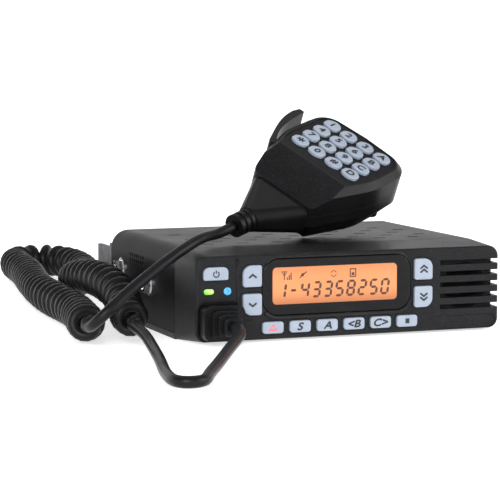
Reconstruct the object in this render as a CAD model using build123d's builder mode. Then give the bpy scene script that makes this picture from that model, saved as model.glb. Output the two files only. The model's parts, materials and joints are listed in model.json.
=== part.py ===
"""A mobile two-way radio with a keypad hand microphone on a curly cord.

Millimetres. +X is the operator's right, +Y runs to the back of the set and +Z is up.
The origin is the centre of the case's footprint, on the surface that it stands on.
"""

import math
import os

from build123d import *

# ---------------------------------------------------------------- driving dimensions
case_w = 160.0
case_h = 43.0
case_d = 125.0
fit_gap = 0.2
floor_t = 3.0
wall_t = 2.5
cover_t = 1.2
cover_edge_r = 9.0
panel_d = 23.8
panel_wall = 2.5
panel_skin = 1.8
panel_inset = 2.3
panel_low = 1.2
panel_drop = 1.8
panel_corner_r = 5.0

# front keys; "in" is a distance in from the nearer end of the panel
key_gap = 0.3
key_proud = 1.3
key_travel = 0.8
key_flange = 0.5
key_flange_t = 0.8
side_key_w = 9.4
side_key_h = 10.2
side_key_high_z = 31.4
side_key_low_z = 18.1
side_key_big_r = 4.4
side_key_small_r = 1.2
left_keys_in = 27.5
right_keys_from_window = 44.4
power_key_in = 9.5
power_key_w = 12.2
power_key_h = 6.2
power_key_z = 33.2
function_key_w = 10.6
function_key_h = 5.6
function_key_z = 6.8
function_keys_from_window = -32.9
function_key_pitch = 13.75
function_key_r = 1.5
function_keys = 6

# display
window_in = 70.7
window_w = 76.0
window_h = 26.6
window_z = 25.7
window_r = 8.0
window_t = 2.2
lcd_w = 68.0
lcd_h = 21.0
lcd_t = 2.6

# status lenses
lens_z = 24.8
green_lens_in = 6.2
green_lens_w = 5.0
green_lens_h = 2.7
blue_lens_in = 15.4
blue_lens_r = 1.9
lens_proud = 0.3
lens_length = 3.4

# microphone socket and its plug
jack_in = 11.5
jack_z = 10.8
jack_w = 15.6
jack_h = 13.4
jack_d = 14.0
plug_w = 11.6
plug_h = 8.0
plug_gap = 0.15
plug_length = 16.0
jack_recess_w = 21.4
jack_recess_h = 18.2
jack_recess_depth = 1.0

# loudspeaker grille and its blank badge
louver_in = 31.2
louver_low_z = 12.5
louver_pitch = 5.35
louver_slot_h = 2.2
louver_count = 5
louver_wrap = 10.0
badge_w = 35.0
badge_h = 6.4
badge_in = 18.8
badge_z = 5.0
badge_depth = 0.5
speaker_size = 27.0
speaker_flange_t = 2.0
speaker_basket_d = 7.0
speaker_magnet_r = 11.0
speaker_magnet_d = 5.0
speaker_in = 17.2
speaker_z = 22.0

# boards behind the panel and in the case
board_t = 1.6
mat_t = 1.0
mat_clear = 1.5
board_inset = 6.0
main_board_z = 12.0
boss_r = 3.0
shield_h = 6.0
module_w = 48.0
module_d = 16.0
module_h = 7.0

# heat sink
sink_w = 116.0
sink_d = 23.5
sink_h = 30.0
sink_low = 4.0
sink_plate = 5.0
sink_in = 0.0
sink_fin_t = 2.2
sink_fins = 19

# cover pressings and vents
dimple_w = 6.2
dimple_h = 1.9
dimple_depth = 0.5
dimple_pitch_x = 18.0
dimple_pitch_y = 12.5
dimple_columns = 7
dimple_rows = 5
dimple_low_y = -24.5
vent_r = 0.9
vent_pitch = 3.4
vent_y = 20.0
vent_z = 32.4

# side screws that carry the mounting bracket
side_screw_y = (-1.2, 43.5)
side_screw_z = (22.0, 25.2)
side_head_r = 4.7
side_head_h = 3.2
side_washer_r = 5.4
side_washer_t = 0.8
side_shank_r = 2.5
side_shank_length = 7.0

# rear sockets
antenna_r = 7.94
antenna_length = 11.0
antenna_flange = 22.0
antenna_flange_t = 2.0
antenna_in = 16.0
antenna_z = 25.0
speaker_bore_r = 1.8
speaker_bore_length = 11.0
speaker_jack_in = 34.0
speaker_jack_z = 19.5
inlet_w = 13.0
inlet_h = 9.5
inlet_length = 9.0
inlet_wall = 1.5
inlet_pin_length = 4.5
inlet_floor = 2.0
inlet_in = 34.0
inlet_z = 32.0

# hand microphone, in its own axes: across, along towards its top, out of its keypad
mic_point = (21.0, -0.5)
mic_keypad_height = 42.2
mic_across = (0.506, -0.722, -0.472)
mic_out = (0.0195, -0.5375, 0.8431)
mic_w = 60.0
mic_top = 23.5
mic_waist = -43.0
mic_waist_w = 39.0
mic_shoulder = -8.0
mic_corner_r = 13.0
mic_bevel = 3.2
mic_parting = -13.0
mic_back = -31.0
mic_back_taper = 32.0
mic_back_straight = 6.0
mic_wall = 2.2
mic_slope_start = -23.0
mic_slope_drop = 8.0
bezel_w = 49.0
bezel_top = 19.3
bezel_low = -22.6
bezel_r = 8.5
bezel_sunk = 0.3
bezel_t = 0.9
bezel_gap = 0.15
keypad_wall = 2.0
mic_key_w = 9.2
mic_key_h = 7.2
mic_key_pitch_x = 11.0
mic_key_pitch_y = 8.4
mic_key_gap = 0.25
mic_key_proud = 1.1
mic_board_t = 1.2
boot_w = 36.0
boot_h = 16.0
boot_axis = -17.0
boot_length = 23.0
boot_end = 12.6
collar_r = 5.7
collar_groove_r = 4.9
collar_rib = 2.4
collar_groove = 1.4
collar_ribs = 3
stud_head_r = 7.0
stud_head_t = 2.4
stud_neck_r = 4.2
stud_neck_t = 2.6
stud_place = (0.0, 0.0)
mic_screw_r = 1.5
mic_screw_head_r = 2.7
mic_screw_head_t = 1.6
mic_screw_length = 9.0
mic_screw_places = ((-19.0, 11.0), (19.0, 11.0), (0.0, -32.0))
capsule_r = 4.8
capsule_t = 3.0
capsule_along = -31.0

# plug on the set's end of the cord
plug_boot_steps = ((19.8, 16.6, 3.4, 8.4), (14.6, 13.2, 2.6, 4.6), (11.4, 10.8, 2.2, 4.2), (8.6, 8.4, 2.0, 3.8))
plug_in_boot = 4.5

# push-to-talk lever
ptt_pivot = (-27.8, -19.5)
ptt_low = -12.0
ptt_high = -3.5
ptt_hub_r = 2.2
ptt_hub_gap = 0.4

# cord
cord_r = 2.6
coil_r = 9.5
cord_clear = 0.1

front_y = -case_d / 2
rear_y = case_d / 2
panel_back_y = front_y + panel_d
panel_left = -case_w / 2 + panel_inset
panel_right = case_w / 2 - panel_inset
front = Plane(origin=(0, front_y, 0), x_dir=(1, 0, 0), z_dir=(0, -1, 0))
rear = Plane(origin=(0, rear_y, 0), x_dir=(-1, 0, 0), z_dir=(0, 1, 0))


def keep(name, part):
    """Label a finished piece and write its file."""
    part.part.label = name
    export_step(part.part, f"parts/{name}.step")


def cornered(width, height, corners, place=(0, 0)):
    """A rectangle outline with its own radius at each corner: high left, high right, low right, low left."""
    x, y = place
    w, h = width / 2, height / 2
    ends = ((x - w, y + h), (x + w, y + h), (x + w, y - h), (x - w, y - h))
    with BuildSketch(Plane.XY, mode=Mode.PRIVATE) as outline:
        with Locations(place):
            Rectangle(width, height)
        for end, r in zip(ends, corners):
            if r:
                fillet(outline.vertices().sort_by_distance((*end, 0))[0], r)
    return outline.sketch


os.makedirs("parts", exist_ok=True)

# ---------------------------------------------------------------- case
inner_w = case_w - 2 * (cover_t + fit_gap)
inner_h = case_h - cover_t - fit_gap
inner_edge_r = cover_edge_r - cover_t - fit_gap
side_wall_h = case_h - cover_edge_r - fit_gap
chassis_d = case_d - panel_d - fit_gap
chassis_y = rear_y - chassis_d / 2
side_screws = [(side, y, z) for side in (-1, 1) for y, z in zip(side_screw_y, side_screw_z)]
main_board_w = inner_w - 2 * (wall_t + board_inset)
main_board_d = chassis_d - wall_t - 2 * board_inset
main_board_y = chassis_y - wall_t / 2
boss_x = main_board_w / 2 - boss_r
boss_y = main_board_d / 2 - boss_r
antenna_x = case_w / 2 - antenna_in
speaker_jack_x = case_w / 2 - speaker_jack_in
inlet_x = case_w / 2 - inlet_in


def side_plane(side, y, z, out):
    """A plane on one side of the case, facing outwards, a given distance from the middle."""
    return Plane(origin=(side * out, y, z), x_dir=(0, side, 0), z_dir=(side, 0, 0))


with BuildPart() as chassis:
    with BuildSketch(Plane.XY):
        with Locations((0, chassis_y)):
            Rectangle(case_w, chassis_d)
    extrude(amount=floor_t)
    with BuildSketch(Plane.XY.offset(floor_t)):
        with Locations((0, chassis_y)):
            Rectangle(inner_w, chassis_d)
            Rectangle(inner_w - 2 * wall_t, chassis_d, mode=Mode.SUBTRACT)
    extrude(amount=side_wall_h - floor_t)
    with BuildSketch(rear):
        add(cornered(inner_w, inner_h - floor_t, (inner_edge_r, inner_edge_r, 0, 0), (0, (inner_h + floor_t) / 2)))
    extrude(amount=-wall_t)
    with BuildSketch(Plane.XY.offset(floor_t)):
        with Locations((0, main_board_y)):
            with GridLocations(2 * boss_x, 2 * boss_y, 2, 2):
                Circle(boss_r)
    extrude(amount=main_board_z - floor_t)
    for side, y, z in side_screws:
        with BuildSketch(side_plane(side, y, z, inner_w / 2 + 1)):
            Circle(side_shank_r)
        extrude(amount=-wall_t - 2, mode=Mode.SUBTRACT)
    with BuildSketch(rear):
        with Locations((-antenna_x, antenna_z)):
            Circle(antenna_r - 1)
        with Locations((-speaker_jack_x, speaker_jack_z)):
            Circle(speaker_bore_r + 1.2)
        with Locations((-inlet_x, inlet_z)):
            Rectangle(inlet_w - 2, inlet_h - 2)
    extrude(amount=-wall_t, mode=Mode.SUBTRACT)
    fillet(chassis.edges().filter_by(Axis.Z).group_by(Axis.Z)[0].group_by(Axis.Y)[-1], floor_t / 3)
keep("chassis", chassis)

sink_x = case_w / 2 - sink_w / 2 - sink_in
sink_pitch = (sink_w - sink_fin_t) / (sink_fins - 1)
with BuildPart() as heat_sink:
    with BuildSketch(rear):
        with Locations((sink_x, sink_low + sink_h / 2)):
            Rectangle(sink_w, sink_h)
    extrude(amount=sink_plate)
    with BuildSketch(rear.offset(sink_plate)):
        with Locations((sink_x, sink_low + sink_h / 2)):
            with GridLocations(sink_pitch, 1, sink_fins, 1):
                Rectangle(sink_fin_t, sink_h)
    extrude(amount=sink_d - sink_plate)
keep("heat_sink", heat_sink)

cover_z = (case_h + floor_t + fit_gap) / 2
with BuildPart() as top_cover:
    with BuildSketch(rear):
        add(cornered(case_w, 2 * (case_h - cover_z), (cover_edge_r, cover_edge_r, 0, 0), (0, cover_z)))
        add(
            cornered(
                case_w - 2 * cover_t,
                2 * (case_h - cover_z),
                (cover_edge_r - cover_t, cover_edge_r - cover_t, 0, 0),
                (0, cover_z - cover_t),
            ),
            mode=Mode.SUBTRACT,
        )
    extrude(amount=-chassis_d)
    for row in range(dimple_rows):
        with BuildSketch(Plane.XY.offset(case_h)):
            shift = (row % 2 - 0.5) * dimple_pitch_x / 2
            with Locations((shift, dimple_low_y + row * dimple_pitch_y)):
                with GridLocations(dimple_pitch_x, 1, dimple_columns, 1):
                    SlotOverall(dimple_w, dimple_h)
        extrude(amount=-dimple_depth, mode=Mode.SUBTRACT)
    with BuildSketch(side_plane(-1, vent_y, vent_z, case_w / 2)):
        with GridLocations(vent_pitch, vent_pitch * 0.8, 7, 2):
            Circle(vent_r)
    extrude(amount=-cover_t - fit_gap, mode=Mode.SUBTRACT)
    for side, y, z in side_screws:
        with BuildSketch(side_plane(side, y, z, case_w / 2)):
            Circle(side_shank_r + fit_gap)
        extrude(amount=-cover_t - fit_gap, mode=Mode.SUBTRACT)
keep("top_cover", top_cover)

with BuildPart() as side_screw_set:
    for side, y, z in side_screws:
        washer = side_plane(side, y, z, case_w / 2)
        with BuildSketch(washer):
            Circle(side_washer_r)
        extrude(amount=side_washer_t)
        with BuildSketch(washer.offset(side_washer_t)):
            RegularPolygon(side_head_r, 6)
        extrude(amount=side_head_h)
        with BuildSketch(washer.offset(side_washer_t + side_head_h)):
            Circle(side_head_r * 0.55)
        extrude(amount=-side_head_h * 0.3, mode=Mode.SUBTRACT)
        with BuildSketch(washer):
            Circle(side_shank_r)
        extrude(amount=-side_shank_length)
keep("side_screws", side_screw_set)

# ---------------------------------------------------------------- rear sockets
with BuildPart() as antenna_socket:
    with BuildSketch(rear):
        with Locations((-antenna_x, antenna_z)):
            RectangleRounded(antenna_flange, antenna_flange, 2)
    extrude(amount=antenna_flange_t)
    with BuildSketch(rear.offset(antenna_flange_t)):
        with Locations((-antenna_x, antenna_z)):
            Circle(antenna_r)
    extrude(amount=antenna_length)
    with BuildSketch(rear.offset(antenna_flange_t + antenna_length)):
        with Locations((-antenna_x, antenna_z)):
            Circle(antenna_r - 1.6)
            Circle(2.1, mode=Mode.SUBTRACT)
    extrude(amount=-antenna_length + 1, mode=Mode.SUBTRACT)
keep("antenna_socket", antenna_socket)

with BuildPart() as speaker_jack:
    with BuildSketch(rear.offset(-wall_t - fit_gap)):
        with Locations((-speaker_jack_x, speaker_jack_z)):
            Rectangle(9, 9)
    extrude(amount=-speaker_bore_length)
    with BuildSketch(rear.offset(-wall_t - fit_gap)):
        with Locations((-speaker_jack_x, speaker_jack_z)):
            Circle(speaker_bore_r + 1)
    extrude(amount=wall_t + 2 * fit_gap)
    with BuildSketch(rear.offset(fit_gap)):
        with Locations((-speaker_jack_x, speaker_jack_z)):
            Circle(speaker_bore_r)
    extrude(amount=-speaker_bore_length, mode=Mode.SUBTRACT)
keep("speaker_jack", speaker_jack)

with BuildPart() as power_inlet:
    with BuildSketch(rear):
        with Locations((-inlet_x, inlet_z)):
            RectangleRounded(inlet_w, inlet_h, 1)
    extrude(amount=inlet_length)
    with BuildSketch(rear.offset(inlet_length)):
        with Locations((-inlet_x, inlet_z)):
            RectangleRounded(inlet_w - 2 * inlet_wall, inlet_h - 2 * inlet_wall, 0.6)
    extrude(amount=inlet_floor - inlet_length, mode=Mode.SUBTRACT)
    with BuildSketch(rear.offset(2)):
        with Locations((-inlet_x, inlet_z)):
            with GridLocations(4.6, 1, 2, 1):
                Rectangle(1.2, 3.2)
    extrude(amount=inlet_pin_length)
    with BuildSketch(rear):
        with Locations((-inlet_x, inlet_z)):
            Rectangle(inlet_w - 2 * inlet_wall, inlet_h - 2 * inlet_wall)
    extrude(amount=-wall_t - 3)
keep("power_inlet", power_inlet)

# ---------------------------------------------------------------- front panel
panel_w = panel_right - panel_left
panel_top = case_h - panel_drop
panel_h = panel_top - panel_low
panel_z = (panel_top + panel_low) / 2
window_x = panel_left + window_in
jack_x = panel_left + jack_in
louver_x = panel_right - louver_in
louver_w = louver_in + panel_inset + 1
louver_middle = louver_low_z + (louver_count - 1) * louver_pitch / 2
speaker_x = panel_right - speaker_in
badge_x = panel_right - badge_in
big, small = side_key_big_r, side_key_small_r
side_key = (side_key_w, side_key_h)
left_key_x = panel_left + left_keys_in
right_key_x = window_x + right_keys_from_window
front_keys = {
    "key_power": (power_key_w, power_key_h, (3, 2.6, 1, 1), (panel_left + power_key_in, power_key_z)),
    "key_up": (*side_key, (big, small, small, small), (left_key_x, side_key_high_z)),
    "key_down": (*side_key, (small, small, small, big), (left_key_x, side_key_low_z)),
    "key_double_up": (*side_key, (small, big, small, small), (right_key_x, side_key_high_z)),
    "key_double_down": (*side_key, (small, small, big, small), (right_key_x, side_key_low_z)),
}
for i in range(function_keys):
    place = (window_x + function_keys_from_window + i * function_key_pitch, function_key_z)
    front_keys[f"key_function_{i + 1}"] = (function_key_w, function_key_h, (function_key_r,) * 4, place)


def grown(width, height, corners, place, by):
    """The same outline, larger by a margin all round."""
    return cornered(width + 2 * by, height + 2 * by, [r + by for r in corners], place)


with BuildPart() as front_panel:
    with BuildSketch(front):
        with Locations((0, panel_z)):
            RectangleRounded(panel_w, panel_h, panel_corner_r)
    with BuildSketch(front.offset(-panel_d)):
        add(cornered(case_w, case_h, (cover_edge_r, cover_edge_r, 1.5, 1.5), (0, case_h / 2)))
    loft(ruled=True)
    fillet(front_panel.faces().sort_by(Axis.Y)[0].edges(), 1.2)
    with BuildSketch(front.offset(-panel_wall)):
        with Locations((0, panel_z)):
            RectangleRounded(panel_w - 2 * panel_skin, panel_h - 2 * panel_skin, panel_corner_r - panel_skin / 2)
    with BuildSketch(front.offset(-panel_d)):
        skin = (case_w - 2 * panel_wall, case_h - 2 * panel_wall)
        add(cornered(*skin, (cover_edge_r - panel_wall, cover_edge_r - panel_wall, 1, 1), (0, case_h / 2)))
    loft(ruled=True, mode=Mode.SUBTRACT)
    with BuildSketch(front.offset(1)):
        for key in front_keys.values():
            add(grown(*key, key_gap))
        with Locations((window_x, window_z)):
            RectangleRounded(window_w + 2 * fit_gap, window_h + 2 * fit_gap, window_r + fit_gap)
        with Locations((panel_left + green_lens_in, lens_z)):
            SlotOverall(green_lens_w, green_lens_h)
        with Locations((panel_left + blue_lens_in, lens_z)):
            Circle(blue_lens_r)
        with Locations((jack_x, jack_z)):
            Rectangle(plug_w + 2 * plug_gap, plug_h + 2 * plug_gap)
    extrude(amount=-panel_wall - 1.5, mode=Mode.SUBTRACT)
    with BuildSketch(front.offset(1)):
        with Locations((jack_x, jack_z)):
            RectangleRounded(jack_recess_w, jack_recess_h, 4)
    extrude(amount=-1 - jack_recess_depth, mode=Mode.SUBTRACT)
    with BuildSketch(front.offset(1)):
        with Locations((badge_x, badge_z)):
            SlotOverall(badge_w, badge_h)
    extrude(amount=-1 - badge_depth, mode=Mode.SUBTRACT)
    with BuildSketch(front.offset(1)):
        with Locations((louver_x + louver_w / 2, louver_middle)):
            with GridLocations(1, louver_pitch, 1, louver_count):
                Rectangle(louver_w, louver_slot_h)
    extrude(amount=-1 - louver_wrap, mode=Mode.SUBTRACT)
keep("front_panel", front_panel)

for name, key in front_keys.items():
    with BuildPart() as front_key:
        with BuildSketch(front.offset(key_proud)):
            add(cornered(*key))
        extrude(amount=-key_proud - panel_wall - fit_gap)
        fillet(front_key.faces().sort_by(Axis.Y)[0].edges(), 0.5)
        with BuildSketch(front.offset(-panel_wall - fit_gap)):
            add(grown(*key, key_gap + key_flange))
        extrude(amount=-key_flange_t)
    keep(name, front_key)

with BuildPart() as display_window:
    with BuildSketch(front.offset(lens_proud)):
        with Locations((window_x, window_z)):
            RectangleRounded(window_w, window_h, window_r)
    extrude(amount=-window_t)
    fillet(display_window.faces().sort_by(Axis.Y)[0].edges(), 0.6)
keep("display_window", display_window)

lcd_front = front.offset(-panel_wall)
with BuildPart() as lcd_module:
    with BuildSketch(lcd_front):
        with Locations((window_x, window_z)):
            Rectangle(lcd_w, lcd_h)
    extrude(amount=-lcd_t)
    with BuildSketch(lcd_front):
        with Locations((window_x, window_z)):
            Rectangle(lcd_w - 4, lcd_h - 3.5)
    extrude(amount=-0.3, mode=Mode.SUBTRACT)
keep("lcd_module", lcd_module)

with BuildPart() as green_status_lens:
    with BuildSketch(front.offset(lens_proud)):
        with Locations((panel_left + green_lens_in, lens_z)):
            SlotOverall(green_lens_w - 0.1, green_lens_h - 0.1)
    extrude(amount=-lens_length)
    fillet(green_status_lens.faces().sort_by(Axis.Y)[0].edges(), 0.25)
keep("green_status_lens", green_status_lens)

with BuildPart() as blue_status_lens:
    with BuildSketch(front.offset(lens_proud)):
        with Locations((panel_left + blue_lens_in, lens_z)):
            Circle(blue_lens_r - 0.05)
    extrude(amount=-lens_length)
    fillet(blue_status_lens.faces().sort_by(Axis.Y)[0].edges(), 0.25)
keep("blue_status_lens", blue_status_lens)

mat_front = front.offset(-panel_wall - fit_gap - key_flange_t - key_travel - fit_gap)
mat_left = panel_left + panel_skin + mat_clear
mat_right = right_key_x + side_key_w / 2 + key_flange + 1
mat_low = panel_low + panel_skin + mat_clear
mat_high = panel_top - panel_skin - mat_clear
with BuildPart() as panel_key_mat:
    with BuildSketch(mat_front):
        with Locations(((mat_left + mat_right) / 2, (mat_low + mat_high) / 2)):
            Rectangle(mat_right - mat_left, mat_high - mat_low)
        with Locations((window_x, window_z)):
            Rectangle(lcd_w + 1, lcd_h + 1, mode=Mode.SUBTRACT)
        with Locations((jack_x, jack_z - mat_low)):
            Rectangle(jack_w + 1, jack_h + 1 + 2 * mat_low, mode=Mode.SUBTRACT)
        with Locations((mat_left, jack_z - mat_low)):
            Rectangle(3, jack_h + 1 + 2 * mat_low, mode=Mode.SUBTRACT)
    extrude(amount=-mat_t)
keep("panel_key_mat", panel_key_mat)

with BuildPart() as control_board:
    with BuildSketch(mat_front.offset(-mat_t - fit_gap)):
        with Locations(((mat_left + mat_right) / 2, (mat_low + mat_high) / 2)):
            Rectangle(mat_right - mat_left, mat_high - mat_low)
        with Locations((jack_x, jack_z - mat_low)):
            Rectangle(jack_w + 1, jack_h + 1 + 2 * mat_low, mode=Mode.SUBTRACT)
        with Locations((mat_left, jack_z - mat_low)):
            Rectangle(3, jack_h + 1 + 2 * mat_low, mode=Mode.SUBTRACT)
    extrude(amount=-board_t)
    with BuildSketch(mat_front.offset(-mat_t - fit_gap - board_t)):
        with Locations((window_x, window_z)):
            Rectangle(12, 12)
        with Locations((window_x - 22, window_z - 5)):
            Rectangle(7, 7)
        with Locations((window_x + 24, window_z - 8)):
            Rectangle(16, 5)
    extrude(amount=-1.6)
keep("control_board", control_board)

speaker_front = front.offset(-panel_wall - fit_gap)
with BuildPart() as speaker:
    with BuildSketch(speaker_front):
        with Locations((speaker_x, speaker_z)):
            RectangleRounded(speaker_size, speaker_size, 3)
    extrude(amount=-speaker_flange_t)
    with BuildSketch(speaker_front.offset(-speaker_flange_t)):
        with Locations((speaker_x, speaker_z)):
            Circle(speaker_size / 2 - 1)
    with BuildSketch(speaker_front.offset(-speaker_flange_t - speaker_basket_d)):
        with Locations((speaker_x, speaker_z)):
            Circle(speaker_magnet_r)
    loft()
    with BuildSketch(speaker_front.offset(-speaker_flange_t - speaker_basket_d)):
        with Locations((speaker_x, speaker_z)):
            Circle(speaker_magnet_r)
    extrude(amount=-speaker_magnet_d)
    with BuildSketch(speaker_front):
        with Locations((speaker_x, speaker_z)):
            Circle(speaker_size / 2 - 2)
    with BuildSketch(speaker_front.offset(-speaker_basket_d)):
        with Locations((speaker_x, speaker_z)):
            Circle(speaker_magnet_r / 2)
    loft(mode=Mode.SUBTRACT)
keep("speaker", speaker)

with BuildPart() as mic_jack:
    with BuildSketch(front.offset(-panel_wall - fit_gap)):
        with Locations((jack_x, jack_z)):
            Rectangle(jack_w, jack_h)
    extrude(amount=-jack_d)
    with BuildSketch(front.offset(-panel_wall - fit_gap)):
        with Locations((jack_x, jack_z)):
            Rectangle(plug_w + 2 * plug_gap, plug_h + 2 * plug_gap)
    extrude(amount=-plug_length, mode=Mode.SUBTRACT)
    with BuildSketch(front.offset(-panel_wall - fit_gap - jack_d + 1)):
        with Locations((jack_x, jack_z)):
            Rectangle(plug_w + 2, plug_h + 2)
    extrude(amount=-1)
keep("mic_jack", mic_jack)

# ---------------------------------------------------------------- boards and modules in the case
with BuildPart() as main_board:
    with BuildSketch(Plane.XY.offset(main_board_z)):
        with Locations((0, main_board_y)):
            Rectangle(main_board_w, main_board_d)
    extrude(amount=board_t)
    with BuildSketch(Plane.XY.offset(main_board_z + board_t)):
        with Locations((main_board_w * 0.36, main_board_y - 28)):
            with GridLocations(9, 9, 3, 2):
                Circle(2.6)
    extrude(amount=5)
keep("main_board", main_board)

with BuildPart() as shield_cans:
    for x, y, w, d in ((-38, 16, 44, 52), (12, 22, 40, 34), (12, -16, 40, 26)):
        with BuildSketch(Plane.XY.offset(main_board_z + board_t)):
            with Locations((x, main_board_y + y - 10)):
                RectangleRounded(w, d, 1.5)
        extrude(amount=shield_h)
keep("shield_cans", shield_cans)

with BuildPart() as power_module:
    with BuildSketch(Plane.XY.offset(floor_t)):
        with Locations((0, main_board_y + main_board_d / 2 - module_d / 2 - 2 * boss_r - 2)):
            Rectangle(module_w, module_d)
    extrude(amount=module_h)
keep("power_module", power_module)

# ---------------------------------------------------------------- hand microphone
mic = Plane(
    origin=(*mic_point, case_h + mic_keypad_height),
    x_dir=mic_across,
    z_dir=mic_out,
)
mic_side = Plane(origin=mic.origin, x_dir=mic.y_dir, z_dir=mic.x_dir)
mic_end = Plane(
    origin=mic.from_local_coords((0, mic_waist, boot_axis)),
    x_dir=mic.x_dir,
    z_dir=-mic.y_dir,
)
half_w = mic_w / 2
half_waist = mic_waist_w / 2


def mic_outline(inset):
    """The case seen square to its keypad, moved in by a margin."""
    w, waist, top, low = half_w - inset, half_waist - inset, mic_top - inset, mic_waist + inset
    with BuildSketch(Plane.XY, mode=Mode.PRIVATE) as outline:
        with BuildLine():
            Polyline(
                (-w + 0.5, top - 1.5),
                (0, top),
                (w - 0.5, top - 1.5),
                (w, mic_shoulder),
                (waist, low),
                (-waist, low),
                (-w, mic_shoulder),
                close=True,
            )
        make_face()
        for x, y, r in ((-w, top, mic_corner_r), (w, top, mic_corner_r), (-w, mic_shoulder, 40), (w, mic_shoulder, 40)):
            fillet(outline.vertices().sort_by_distance((x, y, 0))[0], r - inset)
        for x in (-waist, waist):
            fillet(outline.vertices().sort_by_distance((x, low, 0))[0], 4)
    return outline.sketch


def bezel_outline(margin):
    """The keypad's sunk plate, larger by a margin."""
    w, top, low = bezel_w / 2 + margin, bezel_top + margin, bezel_low - margin
    with BuildSketch(Plane.XY, mode=Mode.PRIVATE) as outline:
        with BuildLine():
            top_arc = ThreePointArc((-w, top - 1.5), (0, top), (w, top - 1.5))
            Line(top_arc @ 1, (w, low + 3))
            low_arc = ThreePointArc((w, low + 3), (0, low), (-w, low + 3))
            Line(low_arc @ 1, top_arc @ 0)
        make_face()
        fillet(outline.vertices(), bezel_r + margin)
    return outline.sketch


def keypad_outline(margin):
    """One keypad key: an arched top and a gently bowed foot."""
    w, h = mic_key_w / 2 + margin, mic_key_h / 2 + margin
    with BuildSketch(Plane.XY, mode=Mode.PRIVATE) as outline:
        with BuildLine():
            top_arc = ThreePointArc((-w, h * 0.3), (0, h), (w, h * 0.3))
            Line(top_arc @ 1, (w, -h * 0.55))
            low_arc = ThreePointArc((w, -h * 0.55), (0, -h), (-w, -h * 0.55))
            Line(low_arc @ 1, top_arc @ 0)
        make_face()
        fillet(outline.vertices(), 1 + margin)
    return outline.sketch


keypad_rows = ("123a", "456b", "789c", "*0#d")
plain_names = {"*": "star", "#": "hash"}
mic_keys = {}
for row, names in enumerate(keypad_rows):
    for column, name in enumerate(names):
        place = ((column - 1.5) * mic_key_pitch_x, (1.5 - row) * mic_key_pitch_y)
        mic_keys["mic_key_" + plain_names.get(name, name)] = place

bezel_floor = -bezel_sunk - bezel_t
wall_floor = bezel_floor - keypad_wall
slope = (
    (mic_slope_start, 0),
    ((mic_slope_start + mic_waist) / 2, -mic_slope_drop * 0.42),
    (mic_waist, -mic_slope_drop),
)
with BuildPart() as mic_front_case:
    with BuildSketch(mic.offset(mic_parting)):
        add(mic_outline(0))
    extrude(amount=-mic_parting - mic_bevel)
    with BuildSketch(mic.offset(-mic_bevel)):
        add(mic_outline(0))
    with BuildSketch(mic):
        add(mic_outline(mic_bevel))
    loft()
    with BuildSketch(mic_side.offset(-half_w - 1)):
        with BuildLine():
            brow = Line((mic_top + 1, 0), slope[0])
            fall = ThreePointArc(*slope)
            Polyline(fall @ 1, (mic_waist - 1, -mic_slope_drop), (mic_waist - 1, mic_parting), (mic_top + 1, mic_parting), brow @ 0)
        make_face()
    extrude(amount=mic_w + 2, mode=Mode.INTERSECT)
    with BuildSketch(mic.offset(mic_parting)):
        add(mic_outline(mic_wall))
    extrude(amount=-mic_parting - mic_slope_drop - mic_wall, mode=Mode.SUBTRACT)
    with BuildSketch(mic.offset(mic_parting)):
        add(bezel_outline(-1))
    extrude(amount=-mic_parting + wall_floor, mode=Mode.SUBTRACT)
    with BuildSketch(mic.offset(bezel_floor)):
        add(bezel_outline(bezel_gap))
    extrude(amount=bezel_floor * -2, mode=Mode.SUBTRACT)
    with BuildSketch(mic.offset(wall_floor)):
        with Locations(*mic_keys.values()):
            add(keypad_outline(mic_key_gap))
    extrude(amount=keypad_wall, mode=Mode.SUBTRACT)
    with BuildSketch(mic.offset(ptt_low - ptt_hub_gap)):
        with Locations(ptt_pivot):
            Circle(ptt_hub_r + ptt_hub_gap)
    extrude(amount=ptt_high - ptt_low + 2 * ptt_hub_gap, mode=Mode.SUBTRACT)
keep("mic_front_case", mic_front_case)

with BuildPart() as mic_keypad_bezel:
    with BuildSketch(mic.offset(bezel_floor)):
        add(bezel_outline(0))
        with Locations(*mic_keys.values()):
            add(keypad_outline(mic_key_gap), mode=Mode.SUBTRACT)
    extrude(amount=bezel_t)
keep("mic_keypad_bezel", mic_keypad_bezel)

for name, place in mic_keys.items():
    with BuildPart() as mic_key:
        with BuildSketch(mic.offset(mic_key_proud)):
            with Locations(place):
                add(keypad_outline(0))
        extrude(amount=wall_floor - fit_gap - mic_key_proud)
        fillet(mic_key.faces().sort_by(Axis(mic.origin, mic.z_dir))[-1].edges(), 0.45)
        with BuildSketch(mic.offset(wall_floor - fit_gap)):
            with Locations(place):
                add(keypad_outline(mic_key_gap + 0.3))
        extrude(amount=-key_flange_t)
    keep(name, mic_key)

mic_board_face = wall_floor - fit_gap - key_flange_t - key_travel - fit_gap
with BuildPart() as mic_board:
    with BuildSketch(mic.offset(mic_board_face)):
        add(bezel_outline(-2))
    extrude(amount=-mic_board_t)
    with BuildSketch(mic.offset(mic_board_face - mic_board_t)):
        with Locations((8, 2)):
            Rectangle(9, 9)
        with Locations((-8, -6)):
            Rectangle(6, 4)
    extrude(amount=-1.4)
keep("mic_board", mic_board)

with BuildPart() as mic_capsule:
    with BuildSketch(mic.offset(-mic_slope_drop - mic_wall - fit_gap)):
        with Locations((0, capsule_along)):
            Circle(capsule_r)
    extrude(amount=-capsule_t)
keep("mic_capsule", mic_capsule)

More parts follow.
